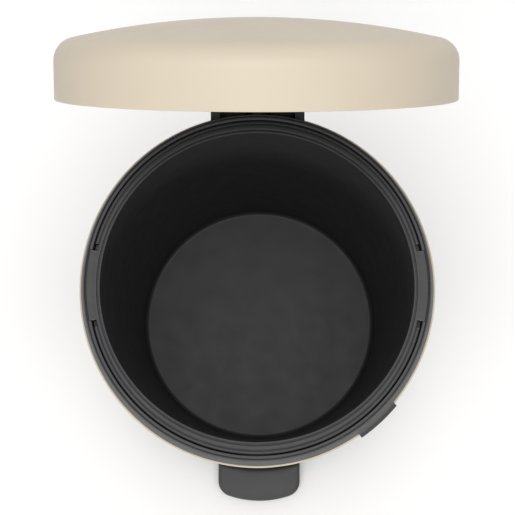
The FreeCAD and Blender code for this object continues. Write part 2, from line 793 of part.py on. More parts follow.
def make_pedal_pad():
    half_wall = "pedal_wall / 2"
    tip = "-(pedal_tip + pivot_back)"
    block = box("pad_block", ("-pedal_half_width", tip, f"-{half_wall}"),
                ("pedal_half_width", "-100", half_wall))
    bow = cylinder("pad_bow", "pedal_front_arc", "pedal_wall",
                   ("0", f"{tip} + pedal_front_arc", f"-{half_wall}"))
    rear = cylinder("pad_rear", "pedal_root", "pedal_wall + 2", ("0", "-pivot_back", f"-{half_wall} - 1"))
    blank = cut("pad_blank", common("pad_bowed", block, bow), rear)
    doc.recompute()
    low, high = size("-pedal_wall / 2"), size("pedal_wall / 2")
    half_width = size("pedal_half_width")
    corners = [i for i, edge in enumerate(blank.Shape.Edges, start=1)
               if abs(edge.BoundBox.ZLength - (high - low)) < 0.01
               and abs(abs(edge.CenterOfMass.x) - half_width) < 0.01
               and edge.CenterOfMass.y < -125]
    cornered = doc.addObject("Part::Fillet", "pad_cornered")
    cornered.Base = blank
    cornered.Edges = [(i, size("pedal_corner"), size("pedal_corner")) for i in corners]
    doc.recompute()
    tops = [i for i, edge in enumerate(cornered.Shape.Edges, start=1)
            if edge.BoundBox.ZMin > high - 0.01]
    softened = doc.addObject("Part::Fillet", "pad_softened")
    softened.Base = cornered
    softened.Edges = [(i, size("pedal_edge"), size("pedal_edge")) for i in tops]
    pocket_box = box("pad_pocket", ("-lever_half_width", "-142", "-lever_wall / 2"),
                     ("lever_half_width", "-110", "lever_wall / 2"))
    holes = [cylinder(f"pad_hole_{i}", "screw_radius", "7", ("0", back, "-pedal_wall / 2"))
             for i, back in enumerate(PEDAL_SCREW_BACKS)]
    on_lever(cut("pedal_pad", softened, fuse("pad_voids", [pocket_box] + holes)))


def make_pedal_screws():
    screws = []
    for i, back in enumerate(PEDAL_SCREW_BACKS):
        head = cylinder(f"pedal_head_{i}", "screw_head", "1.4", ("0", back, "-pedal_wall / 2 - 1.4"))
        shank = cylinder(f"pedal_shank_{i}", "screw_radius", "6.6", ("0", back, "-pedal_wall / 2"))
        screws.append(fuse(f"pedal_screw_{i}", [head, shank]))
    on_lever(group("pedal_screws", screws))


def make_pedal_bracket():
    bracket = new_body("pedal_bracket")
    floor = "base_floor + plate_wall"
    base = rectangle(bracket, "base_outline", "XZ", ("-28", floor), ("28", f"{floor} + 1.5"))
    pad(bracket, "base", base, "24", both_sides=True)
    for side, near, far in (("left", "-15", "-13"), ("right", "13", "15")):
        ear = rectangle(bracket, f"{side}_ear_outline", "XZ", (near, floor), (far, "pivot_level + 7"))
        pad(bracket, f"{side}_ear", ear, "16", both_sides=True)
    bore = circles(bracket, "bore_outline", "YZ", [("0", "pivot_level")], "pin_radius")
    pocket(bracket, "bore", bore, "60", both_sides=True)
    holes = circles(bracket, "screw_holes_outline", "XY", [("-22", "0"), ("22", "0")], "screw_radius")
    pocket(bracket, "screw_holes", holes, "20", reverse=True)
    bracket.setExpression("Placement.Base.y", bound("pivot_back"))


def make_pedal_pivot_pin():
    cylinder("pedal_pivot_pin", "pin_radius", "35", ("-17.5", "pivot_back", "pivot_level"), "X")


def make_pedal_stops():
    """Rubber stops under the front and the back of the lever."""
    floor = "base_floor + plate_wall"
    front = cylinder("front_stop", "5", "4.5", ("0", "-116", floor))
    back = cylinder("back_stop", "5", "5.1", ("0", "102", floor))
    group("pedal_stops", [front, back])


# ------------------------------------------------------------------ assembly

NODES = [
    "body_shell", "base_ring", "base_plate", "non_slip_ring", "base_screws",
    "top_collar", "inner_bucket",
    "lid_shell", "lid_liner", "lid_buffers", "lid_hinge_arm", "lid_screws", "hinge_bushes",
    "hinge_bracket", "hinge_screws", "hinge_pin", "hinge_pin_caps", "stay_spring",
    "push_rod", "rod_head", "rod_foot", "rod_guides",
    "pedal_lever", "pivot_bushes", "pedal_pad", "pedal_screws",
    "pedal_bracket", "pedal_pivot_pin", "pedal_stops",
]


def check_everything():
    doc.recompute()
    for thing in doc.Objects:
        faults = [word for word in thing.State if word in ("Invalid", "Error")]
        if faults:
            raise RuntimeError(f"{thing.Label}: {faults}")


def write_nodes():
    os.makedirs("parts", exist_ok=True)
    for name in NODES:
        thing = doc.getObjectsByLabel(name)[0]
        shape = thing.Shape
        if shape.isNull() or not shape.isValid():
            raise RuntimeError(f"{name} has no valid shape")
        shape.exportStep(f"parts/{name}.step")
        bounds = shape.BoundBox
        print(f"{name}: {shape.Volume / 1000:.2f} cm3, {len(shape.Solids)} solids, "
              f"y {bounds.YMin:.1f}..{bounds.YMax:.1f}, z {bounds.ZMin:.1f}..{bounds.ZMax:.1f}")


make_body_shell()
make_base_ring()
make_base_plate()
make_non_slip_ring()
make_base_screws()
make_top_collar()
make_inner_bucket()
make_lid_shell()
make_lid_liner()
make_lid_buffers()
make_lid_hinge_arm()
make_lid_screws()
make_hinge_bushes()
make_hinge_bracket()
make_hinge_screws()
make_hinge_pin()
make_stay_spring()
make_push_rod()
make_rod_guides()
make_pedal_lever()
make_pivot_bushes()
make_pedal_pad()
make_pedal_screws()
make_pedal_bracket()
make_pedal_pivot_pin()
make_pedal_stops()
check_everything()
write_nodes()
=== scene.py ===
"""A round pedal bin with its lid open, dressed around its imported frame.

Lengths are in millimetres, in the frame's own axes: +Z up, the pedal towards -Y. Only the lights and the
camera are placed in metres. Angles round Z are in degrees, from +X towards +Y.
"""

import json
import math

import bmesh
import bpy
from mathutils import Matrix, Vector


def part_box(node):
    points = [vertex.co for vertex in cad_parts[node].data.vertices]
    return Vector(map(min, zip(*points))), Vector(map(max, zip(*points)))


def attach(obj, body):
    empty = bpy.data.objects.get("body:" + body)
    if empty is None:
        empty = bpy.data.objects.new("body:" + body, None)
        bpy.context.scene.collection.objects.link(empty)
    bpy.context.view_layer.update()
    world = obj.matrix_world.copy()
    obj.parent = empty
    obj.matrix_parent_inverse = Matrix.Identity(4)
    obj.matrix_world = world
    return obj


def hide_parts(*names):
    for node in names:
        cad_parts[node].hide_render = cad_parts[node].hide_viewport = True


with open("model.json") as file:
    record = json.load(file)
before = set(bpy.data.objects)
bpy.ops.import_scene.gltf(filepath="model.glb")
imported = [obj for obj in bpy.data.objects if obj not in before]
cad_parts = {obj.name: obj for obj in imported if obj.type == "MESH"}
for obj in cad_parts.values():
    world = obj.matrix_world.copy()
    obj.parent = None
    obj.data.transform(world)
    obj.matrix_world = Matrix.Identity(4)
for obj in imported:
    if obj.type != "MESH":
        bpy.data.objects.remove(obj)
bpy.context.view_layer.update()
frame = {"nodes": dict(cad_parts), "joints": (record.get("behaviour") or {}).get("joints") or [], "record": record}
MM = 0.001
CLEARANCE = 0.05
SHARP_ANGLE = math.radians(32)
BEVEL_ANGLE = math.radians(40)

# Faces round a full turn.
TURNS = 288
FINE_TURNS = 360
FINEST_TURNS = 720

# ------------------------------------------------------------- dimensions


def limits(node):
    """Lowest and highest corner of a CAD node, in millimetres."""
    low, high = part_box(node)
    return Vector(low) / MM, Vector(high) / MM


def joint(name):
    """The frame's row of a joint."""
    return next(row for row in frame["joints"] if row["name"] == name)


HINGE = Vector(joint("lid_hinge")["pos_m"]) / MM
LID_TURN = -joint("lid_hinge")["range_deg"][0]
PIVOT = Vector(joint("pedal_hinge")["pos_m"]) / MM

# The body can, with a seam, a notch for the lid's arm and a slot for the pedal's lever.
BODY_LOW = limits("body_shell")[0].z
BODY_TOP = limits("body_shell")[1].z
LIP_RADIUS = limits("body_shell")[1].x
BODY_RADIUS = 125.0
BODY_WALL = 0.6
LIP_HEIGHT = 1.6
SEAM_HALF_WIDTH = 1.6
SEAM_DEPTH = 0.22
NOTCH_HALF_WIDTH = 27.1
NOTCH_DEPTH = 32.0
SLOT_HALF_WIDTH = 14.0
BODY_SLOT_TOP = 40.0

# The collar, from its bore outwards: ridge, groove and sloped foot. The tab continues the slope.
COLLAR_LOW = limits("top_collar")[0].z
COLLAR_TOP = limits("top_collar")[1].z
COLLAR_BORE = 117.65
COLLAR_WALL = 1.5
RIDGE_RADIUS = 119.65
GROOVE_WIDTH = 0.75
GROOVE_DEPTH = 3.2
COLLAR_FOOT = 124.6
COLLAR_SEAT = BODY_TOP + CLEARANCE
TAB_RADIUS = 128.0
TAB_TURN = -47.5
TAB_SPAN = 15.0
ARM_SPAN = 33.8
WINDOW_HALF_WIDTH = 9.0

# The bucket, from its mouth outwards: rim, step and hanging lugs, each with a notch at both ends.
BUCKET_FLOOR = limits("inner_bucket")[0].z
BUCKET_RIM = limits("inner_bucket")[1].y
LUG_RADIUS = limits("inner_bucket")[1].x
BUCKET_WALL = 1.6
BUCKET_FOOT = 103.0
BUCKET_MOUTH = 109.4
BUCKET_STEP = 114.2
MOUTH_DRAW = 1.3
RIM_TOP = COLLAR_TOP + 0.3
LUG_SPAN = 24.0
LUG_BED_DEPTH = 3.3
LUG_NOTCH_SPAN = 2.6
LUG_NOTCH_DEPTH = 9.0
LUG_SIDES = (0, 180)

# The lid, as it stands on the closed bin.
LID_RADIUS = 128.0
LID_WALL = 1.2
LID_RIM = 352.4
LID_SKIRT = 36.1
LID_HEIGHT = 51.3
LID_SHOULDER = 14.8
HEM_HEIGHT = 5.5
LINER_LEVEL = LID_RIM + 29.4
LINER_STEP = 2.2
LINER_WALL = 1.6
LINER_SHOULDER = 112
LINER_RINGS = (36, 100)

# The base ring and the rubber foot ring below it.
BASE_RADIUS = limits("base_ring")[1].x
BASE_TOP = limits("base_ring")[1].z
BASE_BORE = 118.0
FOOT_HEIGHT = limits("non_slip_ring")[1].z
FOOT_BORE = 119.5
FOOT_RADIUS = 124.5
FOOT_DENTS = 72

# The pedal pad. Its tip and its hollow root are measured from the bin's axis, its bow is the radius of the
# front edge, and its levels are (inset, height) from the underside up, before the pad is tilted.
PEDAL_TILT = 4.84
PEDAL_HALF_WIDTH = 36.8
PEDAL_TIP = 157.5
PEDAL_ROOT = 128.2
PEDAL_BOW = 85.0
PEDAL_CORNER = 14.0
PEDAL_LEVELS = [
    (1.2, -4.5), (0.5, -4.3), (0.1, -3.8), (0.0, -3.0), (0.0, 0.2), (0.12, 1.3), (0.45, 2.3),
    (1.0, 3.1), (1.75, 3.7), (2.7, 4.1), (4.0, 4.32), (6.0, 4.42), (9.0, 4.5),
]

# Width of the rounded edges that CAD pieces get.
SOFT_EDGES = {
    "hinge_bracket": 0.8,
    "lid_hinge_arm": 0.5,
    "hinge_pin_caps": 0.4,
    "rod_head": 0.5,
    "rod_foot": 0.4,
    "rod_guides": 0.5,
    "pedal_lever": 0.3,
    "pedal_bracket": 0.3,
    "pedal_stops": 0.6,
    "base_plate": 0.5,
    "base_screws": 0.3,
    "hinge_screws": 0.3,
    "lid_screws": 0.3,
    "pedal_screws": 0.3,
}

# ------------------------------------------------------------------ meshes


def rounded(outline, steps=5):
    """Round the corners of a closed outline of (x, y, radius) points, each by less than half a side."""
    corners = [Vector(point[:2]) for point in outline]
    result = []
    for i, corner in enumerate(corners):
        radius = outline[i][2]
        if radius <= 0:
            result.append(corner)
            continue
        before = corners[i - 1] - corner
        after = corners[(i + 1) % len(corners)] - corner
        half = before.angle(after) / 2
        shorter_side = min(before.length, after.length)
        reach = min(radius / math.tan(half), 0.48 * shorter_side)
        radius = reach * math.tan(half)
        middle = (before.normalized() + after.normalized()).normalized()
        centre = corner + middle * (radius / math.sin(half))
        start = corner + before.normalized() * reach - centre
        end = corner + after.normalized() * reach - centre
        turn = math.atan2(start.x * end.y - start.y * end.x, start.dot(end))
        for step in range(steps + 1):
            result.append(centre + Matrix.Rotation(turn * step / steps, 2) @ start)
    return result


def new_object(name, mesh_builder):
    """A smooth-shaded object made of a bmesh in millimetres."""
    bmesh.ops.remove_doubles(mesh_builder, verts=mesh_builder.verts, dist=1e-4)
    bmesh.ops.recalc_face_normals(mesh_builder, faces=mesh_builder.faces)
    bmesh.ops.scale(mesh_builder, vec=(MM, MM, MM), verts=mesh_builder.verts)
    mesh = bpy.data.meshes.new(name)
    mesh_builder.to_mesh(mesh)
    mesh_builder.free()
    made = bpy.data.objects.new(name, mesh)
    bpy.context.scene.collection.objects.link(made)
    smooth(made)
    return made


def smooth(made):
    """Shade a mesh smooth, apart from its sharp edges."""
    made.data.shade_smooth()
    made.data.set_sharp_from_angle(angle=SHARP_ANGLE)


def lathe(name, outline, start=0.0, span=360.0, turns=TURNS, shift=None):
    """Spin a closed outline of (radius, height) about Z, all round or over a span of degrees.

    shift(radius, height, angle) may move a point as the outline goes round. Its angle is in radians.
    A side of the outline that lies on the axis gets no faces.
    """
    whole = span >= 360.0
    count = turns if whole else max(2, round(turns * span / 360.0))
    rows = count if whole else count + 1
    build = bmesh.new()
    rings = []
    for row in range(rows):
        angle = math.radians(start + span * row / count)
        ring = []
        for radius, height in outline:
            if shift:
                radius, height = shift(radius, height, angle)
            ring.append(build.verts.new((radius * math.cos(angle), radius * math.sin(angle), height)))
        rings.append(ring)
    size = len(outline)
    for row in range(count):
        near, far = rings[row], rings[(row + 1) % rows]
        for i in range(size):
            j = (i + 1) % size
            if outline[i][0] > 1e-6 or outline[j][0] > 1e-6:
                build.faces.new((near[i], near[j], far[j], far[i]))
    if not whole:
        build.faces.new(rings[0])
        build.faces.new(rings[-1])
    return new_object(name, build)


def block(name, low, high):
    """A plain block that cuts other meshes, so it reaches past the wall that it cuts."""
    build = bmesh.new()
    bmesh.ops.create_cube(build, size=1)
    size = Vector(high) - Vector(low)
    middle = (Vector(high) + Vector(low)) / 2
    for vert in build.verts:
        vert.co = Vector(a * b for a, b in zip(vert.co, size)) + middle
    return new_object(name, build)


def combine(target, tool, operation):
    """Cut the tool from the target or join it on, then drop the tool."""
    modifier = target.modifiers.new("combine", "BOOLEAN")
    modifier.object = tool
    modifier.operation = operation
    modifier.solver = "EXACT"
    graph = bpy.context.evaluated_depsgraph_get()
    old = target.data
    target.data = bpy.data.meshes.new_from_object(target.evaluated_get(graph))
    target.modifiers.clear()
    target.data.name = old.name
    bpy.data.meshes.remove(old)
    bpy.data.objects.remove(tool)
    smooth(target)
    return target


def soften(made, width):
    """Round the crisp edges of a piece a little."""
    bevel = made.modifiers.new("soft_edges", "BEVEL")
    bevel.width = width * MM
    bevel.segments = 3
    bevel.limit_method = "ANGLE"
    bevel.angle_limit = BEVEL_ANGLE


def swing_open(made):
    """Turn a piece made on the closed bin to where the open lid holds it."""
    pivot = Matrix.Translation(HINGE * MM)
    turn = Matrix.Rotation(-math.radians(LID_TURN), 4, "X")
    made.data.transform(pivot @ turn @ pivot.inverted())
    return made


# --------------------------------------------------------------- materials


class Nodes:
    """A material with a few short calls for its nodes."""

    def __init__(self, name):
        self.material = bpy.data.materials.new(name)
        self.material.use_nodes = True
        self.tree = self.material.node_tree
        self.shader = self.tree.nodes["Principled BSDF"]
        self.place = self.add("ShaderNodeTexCoord").outputs["Object"]

    def add(self, kind, **settings):
        """A new node with its own settings, which are not sockets."""
        node = self.tree.nodes.new(kind)
        for key, value in settings.items():
            setattr(node, key, value)
        return node

    def link(self, source, target):
        self.tree.links.new(source, target)

    def set(self, **values):
        """Fixed numbers and colours on the shader's own sockets."""
        for key, value in values.items():
            self.shader.inputs[key.replace("_", " ")].default_value = value

    def noise(self, grain, detail, stretch=(1, 1, 1), roughness=0.5):
        """Noise whose cells are about grain millimetres across."""
        mapping = self.add("ShaderNodeMapping")
        mapping.inputs["Scale"].default_value = stretch
        self.link(self.place, mapping.inputs["Vector"])
        texture = self.add("ShaderNodeTexNoise")
        texture.inputs["Scale"].default_value = 1 / (grain * MM)
        texture.inputs["Detail"].default_value = detail
        texture.inputs["Roughness"].default_value = roughness
        self.link(mapping.outputs["Vector"], texture.inputs["Vector"])
        return texture.outputs["Fac"]

    def remap(self, value, low, high, start=0.3, end=0.7):
        """Stretch a value so that start..end becomes low..high."""
        node = self.add("ShaderNodeMapRange")
        numbers = {"From Min": start, "From Max": end, "To Min": low, "To Max": high}
        for key, number in numbers.items():
            node.inputs[key].default_value = number
        self.link(value, node.inputs["Value"])
        return node.outputs["Result"]

    def mix(self, factor, first, second):
        """A colour between a fixed or linked colour and a fixed one."""
        node = self.add("ShaderNodeMix", data_type="RGBA")
        self.link(factor, node.inputs["Factor"])
        if isinstance(first, tuple):
            node.inputs["A"].default_value = (*first, 1)
        else:
            self.link(first, node.inputs["A"])
        node.inputs["B"].default_value = (*second, 1)
        return node.outputs["Result"]

    def add_values(self, first, second, weight):
        """first + weight * second."""
        node = self.add("ShaderNodeMath", operation="MULTIPLY_ADD")
        self.link(second, node.inputs[0])
        node.inputs[1].default_value = weight
        self.link(first, node.inputs[2])
        return node.outputs["Value"]

    def edges(self, width=0.7):
        """1 on the convex edges, broken up a little, and 0 on flat faces and in hollows."""
        rounded_normal = self.add("ShaderNodeBevel", samples=6)
        rounded_normal.inputs["Radius"].default_value = width * MM
        surface = self.add("ShaderNodeNewGeometry")
        turned = self.add("ShaderNodeVectorMath", operation="DISTANCE")
        self.link(rounded_normal.outputs["Normal"], turned.inputs[0])
        self.link(surface.outputs["Normal"], turned.inputs[1])
        broken = self.add_values(turned.outputs["Value"], self.noise(5, detail=3), 0.08)
        edge = self.remap(broken, 0, 1, start=0.12, end=0.5)
        convex = self.remap(surface.outputs["Pointiness"], 0, 1, start=0.49, end=0.52)
        both = self.add("ShaderNodeMath", operation="MULTIPLY")
        self.link(edge, both.inputs[0])
        self.link(convex, both.inputs[1])
        return both.outputs["Value"]

    def bump(self, height, depth):
        """Bump of about depth millimetres."""
        node = self.add("ShaderNodeBump")
        node.inputs["Distance"].default_value = depth * MM
        self.link(height, node.inputs["Height"])
        self.link(node.outputs["Normal"], self.shader.inputs["Normal"])

    def colour(self, value):
        self.link(value, self.shader.inputs["Base Color"])

    def rough(self, value):
        self.link(value, self.shader.inputs["Roughness"])


def shade(colour, factor):
    """A colour made darker or lighter by a factor."""
    return tuple(channel * factor for channel in colour)


def moulded_plastic(name, colour, roughness, grain, depth, painted_highlight):
    """Moulded plastic: spark-eroded grain, faint clouding, rubbed patches and edges painted paler as a highlight.
    """
    made = Nodes(name)
    cloud = made.remap(made.noise(42, detail=2), 0, 1)
    base = made.mix(cloud, shade(colour, 0.96), shade(colour, 1.04))
    # Painted highlight: the colour of convex edges is raised by the given factor.
    made.colour(made.mix(made.edges(), base, shade(colour, 1 + painted_highlight)))
    rubbed = made.noise(17, detail=4, roughness=0.6)
    made.rough(made.remap(rubbed, roughness - 0.03, roughness + 0.04))
    fine = made.noise(grain, detail=2)
    coarse = made.noise(grain * 4.5, detail=2)
    made.bump(made.add_values(fine, coarse, 0.8), depth)
    made.set(Specular_IOR_Level=0.22)
    return made.material


def powder_coat(name, colour):
    """Satin paint on steel: orange peel, faint clouding and a thin clear gloss."""
    made = Nodes(name)
    cloud = made.remap(made.noise(70, detail=2), 0, 1)
    made.colour(made.mix(cloud, shade(colour, 0.975), shade(colour, 1.02)))
    made.rough(made.remap(made.noise(9, detail=3), 0.42, 0.50))
    peel = made.noise(1.9, detail=1.5)
    fine = made.noise(0.5, detail=1)
    made.bump(made.add_values(peel, fine, 0.25), 0.012)
    made.set(Specular_IOR_Level=0.2, Coat_Weight=0.03, Coat_Roughness=0.25)
    return made.material


def drawn_steel(name, colour, roughness, stretch):
    """Plated steel with fine drawn lines along one axis."""
    made = Nodes(name)
    lines = made.noise(0.8, detail=3, stretch=stretch)
    made.colour(made.mix(made.remap(lines, 0, 1), shade(colour, 0.86), shade(colour, 1.08)))
    made.rough(made.remap(made.noise(6, detail=3), roughness - 0.06, roughness + 0.08))
    made.bump(lines, 0.006)
    made.set(Metallic=1.0)
    return made.material


def lacquered_steel(name, colour):
    """Thin black lacquer: slight orange peel and rubbed edges."""
    made = Nodes(name)
    cloud = made.remap(made.noise(12, detail=3), 0, 1)
    base = made.mix(cloud, shade(colour, 0.85), shade(colour, 1.2))
    made.colour(made.mix(made.edges(), base, shade(colour, 2.5)))
    made.rough(made.remap(made.noise(7, detail=3), 0.36, 0.50))
    made.bump(made.noise(1.6, detail=2), 0.01)
    made.set(Specular_IOR_Level=0.4)
    return made.material


def soft_rubber(name, colour):
    """Dull rubber with a fine bloom."""
    made = Nodes(name)
    bloom = made.noise(6, detail=4)
    made.colour(made.mix(made.remap(bloom, 0, 1), shade(colour, 0.8), shade(colour, 1.35)))
    made.rough(made.remap(bloom, 0.72, 0.86))
    made.bump(made.noise(0.7, detail=3), 0.03)
    return made.material


CREAM = powder_coat("cream_paint", (0.655, 0.572, 0.452))
# The last number of each plastic sets its painted highlight, the lightening of its convex edges.
DARK = moulded_plastic(
    "dark_plastic", (0.063, 0.063, 0.065), roughness=0.50, grain=0.45, depth=0.012, painted_highlight=1.0)
PEDAL = moulded_plastic(
    "pedal_plastic", (0.070, 0.070, 0.073), roughness=0.50, grain=0.45, depth=0.012, painted_highlight=0.1)
BUCKET = moulded_plastic(
    "bucket_plastic", (0.040, 0.040, 0.042), roughness=0.40, grain=0.6, depth=0.008, painted_highlight=2.4)
NYLON = moulded_plastic(
    "nylon", (0.70, 0.69, 0.63), roughness=0.42, grain=0.8, depth=0.01, painted_highlight=0.1)
RUBBER = soft_rubber("rubber", (0.030, 0.030, 0.031))
BRIGHT = drawn_steel("bright_steel", (0.66, 0.66, 0.65), roughness=0.28, stretch=(1, 0.05, 1))
LACQUER = lacquered_steel("black_steel", (0.030, 0.030, 0.032))
SLOT_MATERIALS = {
    "cream_paint": CREAM,
    "dark_plastic": DARK,
    "bucket_plastic": BUCKET,
    "nylon": NYLON,
    "rubber": RUBBER,
    "bright_steel": BRIGHT,
    "black_steel": LACQUER,
}

# --------------------------------------------------------------------- lid


def dome_line(inset, steps=44, corner_steps=16):
    """(radius, height) points of the lid's form from its skirt to the crown."""
    radius = LID_RADIUS - inset
    corner = LID_SHOULDER - inset
    edge = LID_RIM + LID_SKIRT - inset
    crown = LID_RIM + LID_HEIGHT - inset
    rise = crown - edge
    dome = (radius ** 2 + rise ** 2) / (2 * rise)
    centre = crown - dome
    side = radius - corner
    level = centre + math.sqrt((dome - corner) ** 2 - side ** 2)
    meet = math.atan2(level - centre, side)
    points = []
    for step in range(corner_steps + 1):
        angle = meet * step / corner_steps
        points.append((side + corner * math.cos(angle), level + corner * math.sin(angle)))
    for step in range(1, steps + 1):
        angle = meet + (math.pi / 2 - meet) * step / steps
        points.append((max(0.0, dome * math.cos(angle)), centre + dome * math.sin(angle)))
    return points


def make_lid_shell():
    """The pressed steel lid with its edge folded inwards."""
    fold = LID_RADIUS - LID_WALL - CLEARANCE
    hem_top = LID_RIM + HEM_HEIGHT
    hem = rounded([
        (fold, hem_top, 0.3),
        (fold, LID_RIM, 0.7),
        (LID_RADIUS, LID_RIM, 0.8),
        (LID_RADIUS, LID_RIM + 4, 0),
    ], 6)
    hem = [point for point in hem if point.y < hem_top + 0.1]
    outline = hem + dome_line(0) + dome_line(LID_WALL)[::-1]
    return swing_open(lathe("lid_skin", outline))


def make_lid_lining():
    """The moulded disc inside the lid, with a stepped centre and two rings."""
    face = LINER_LEVEL
    centre = face + LINER_STEP
    edge = LID_RADIUS - LID_WALL - 2
    outline = [(0, centre, 0)]
    for ring in LINER_RINGS:
        outline += [(ring - 2, centre, 1.2), (ring, face + 1.4, 1.2), (ring + 2, centre, 1.2)]
    outline += [
        (LINER_SHOULDER, centre, 2.0),
        (LINER_SHOULDER + 3, face, 2.0),
        (edge, face, 0.7),
        (edge, face + LINER_WALL, 0.7),
        (LINER_SHOULDER + 2, face + LINER_WALL, 2.0),
        (LINER_SHOULDER - 1, centre + LINER_WALL, 2.0),
        (0, centre + LINER_WALL, 0),
    ]
    return swing_open(lathe("lid_lining", rounded(outline)))


# ------------------------------------------------------------------ collar


def make_collar():
    """The dark ring: ridge, groove, sloped foot, two lug beds, arm gap, window and finger tab."""
    plug = BODY_RADIUS - BODY_WALL - 0.1
    inner_slope = plug - COLLAR_WALL
    bore_back = COLLAR_BORE + COLLAR_WALL
    bore_low = BODY_TOP - 6
    shoulder = RIDGE_RADIUS + GROOVE_WIDTH
    groove_floor = COLLAR_TOP - GROOVE_DEPTH
    outline = rounded([
        (COLLAR_BORE, bore_low, 0.4),
        (bore_back, bore_low, 0.4),
        (bore_back, COLLAR_TOP - 7, 1.0),
        (inner_slope, BODY_TOP + 1.2, 1.0),
        (inner_slope, COLLAR_LOW, 0.4),
        (plug, COLLAR_LOW, 0.4),
        (plug, COLLAR_SEAT, 0),
        (COLLAR_FOOT, COLLAR_SEAT, 0.1),
        (COLLAR_FOOT, BODY_TOP + 1.6, 0.6),
        (shoulder + 0.9, COLLAR_TOP - 0.9, 1.1),
        (shoulder, COLLAR_TOP - 0.8, 0.3),
        (shoulder, groove_floor, 0.15),
        (RIDGE_RADIUS, groove_floor, 0.15),
        (RIDGE_RADIUS, COLLAR_TOP, 0.6),
        (COLLAR_BORE, COLLAR_TOP, 0.6),
    ], 6)
    collar = lathe("collar", outline, turns=FINE_TURNS)

    bed_span = LUG_SPAN + 0.6
    bed_floor = COLLAR_TOP - LUG_BED_DEPTH
    bed = [
        (COLLAR_BORE - 2, bed_floor),
        (LUG_RADIUS + 0.3, bed_floor),
        (LUG_RADIUS + 0.3, COLLAR_TOP + 2),
        (COLLAR_BORE - 2, COLLAR_TOP + 2),
    ]
    for side in LUG_SIDES:
        combine(collar, lathe("bed", bed, side - bed_span / 2, bed_span), "DIFFERENCE")

    behind_ridge = RIDGE_RADIUS + 0.02
    gap = [
        (behind_ridge, COLLAR_LOW - 2),
        (COLLAR_FOOT + 3, COLLAR_LOW - 2),
        (COLLAR_FOOT + 3, COLLAR_TOP - 4),
        (behind_ridge, COLLAR_TOP - 4),
    ]
    combine(collar, lathe("gap", gap, 90 - ARM_SPAN / 2, ARM_SPAN), "DIFFERENCE")
    window = block(
        "window", (-WINDOW_HALF_WIDTH, 100, BODY_TOP - 8), (WINDOW_HALF_WIDTH, 124, COLLAR_TOP - 8))
    combine(collar, window, "DIFFERENCE")

    tab = rounded([
        (COLLAR_FOOT - 1, COLLAR_SEAT, 0),
        (TAB_RADIUS, COLLAR_SEAT, 0.3),
        (TAB_RADIUS, BODY_TOP + 0.9, 0.3),
        (TAB_RADIUS - 1.8, BODY_TOP + 1.6, 0.6),
        (shoulder + 1.0, COLLAR_TOP - 2.6, 0),
        (COLLAR_FOOT - 4, BODY_TOP + 3, 0),
    ], 4)
    lobe = lathe("lobe", tab, TAB_TURN - TAB_SPAN / 2, TAB_SPAN)
    return combine(collar, lobe, "UNION")


# ------------------------------------------------------------------ bucket


def make_bucket():
    """The lift-out bucket: tapered wall, stepped rim and two hanging lugs."""
    neck = COLLAR_TOP - 12
    skirt = COLLAR_TOP - 10
    shelf = COLLAR_TOP - 2.5
    step = COLLAR_TOP - 1.6
    groove = COLLAR_TOP - 1.0
    band = COLLAR_TOP - 0.7
    outer = BUCKET_MOUTH + 1.2
    bead = BUCKET_MOUTH + 1.6
    groove_edge = BUCKET_MOUTH + 2.3
    outline = rounded([
        (0, BUCKET_FLOOR + 0.8, 0),
        (BUCKET_FOOT - 9, BUCKET_FLOOR + 0.8, 0.8),
        (BUCKET_FOOT - 8, BUCKET_FLOOR, 0.8),
        (BUCKET_FOOT, BUCKET_FLOOR, 4.5),
        (outer, neck, 0),
        (outer, shelf, 0.5),
        (BUCKET_RIM - 1.5, shelf, 0.5),
        (BUCKET_RIM - 1.5, skirt, 0.4),
        (BUCKET_RIM, skirt, 0.4),
        (BUCKET_RIM, band, 1.1),
        (BUCKET_STEP + 0.5, band, 0.6),
        (BUCKET_STEP + 0.5, step, 0.15),
        (BUCKET_STEP, step, 0.15),
        (BUCKET_STEP, RIM_TOP, 0.8),
        (groove_edge, RIM_TOP, 0.8),
        (groove_edge, groove, 0.15),
        (bead, groove, 0.15),
        (bead, RIM_TOP, 0.6),
        (BUCKET_MOUTH, RIM_TOP, 0.6),
        (BUCKET_MOUTH - 0.4, neck, 2),
        (BUCKET_FOOT - BUCKET_WALL, BUCKET_FLOOR + BUCKET_WALL, 4),
        (0, BUCKET_FLOOR + BUCKET_WALL + 0.6, 0),
    ])

    def drawn_in(radius, height, angle):
        """The soft mouth is a little oval: drawn in at the front and back, between the lugs."""
        near_mouth = min(1, (BUCKET_STEP - radius) / (BUCKET_STEP - groove_edge))
        if height < neck - 1 or near_mouth <= 0:
            return radius, height
        return radius - MOUTH_DRAW * near_mouth * math.sin(angle) ** 2, height

    bucket = lathe("bucket", outline, turns=FINE_TURNS, shift=drawn_in)
    lug = rounded([
        (BUCKET_STEP - 1, COLLAR_TOP - 3, 0),
        (LUG_RADIUS, COLLAR_TOP - 3, 0.3),
        (LUG_RADIUS, RIM_TOP, 0.7),
        (LUG_RADIUS - 1.2, RIM_TOP, 0),
        (LUG_RADIUS - 2.0, RIM_TOP, 0),
        (BUCKET_STEP - 1, RIM_TOP, 0),
    ])
    for side in LUG_SIDES:
        combine(bucket, lathe("lug", lug, side - LUG_SPAN / 2, LUG_SPAN), "UNION")

    notch_floor = COLLAR_TOP - LUG_NOTCH_DEPTH
    notch = [
        (BUCKET_STEP + 0.2, notch_floor),
        (BUCKET_RIM + 1, notch_floor),
        (BUCKET_RIM + 1, RIM_TOP + 2),
        (BUCKET_STEP + 0.2, RIM_TOP + 2),
    ]
    lug_end = LUG_SPAN / 2 + 0.1
    for side in LUG_SIDES:
        for start in (lug_end, -lug_end - LUG_NOTCH_SPAN):
            combine(bucket, lathe("notch", notch, side + start, LUG_NOTCH_SPAN), "DIFFERENCE")
    return bucket


# -------------------------------------------------------------------- body


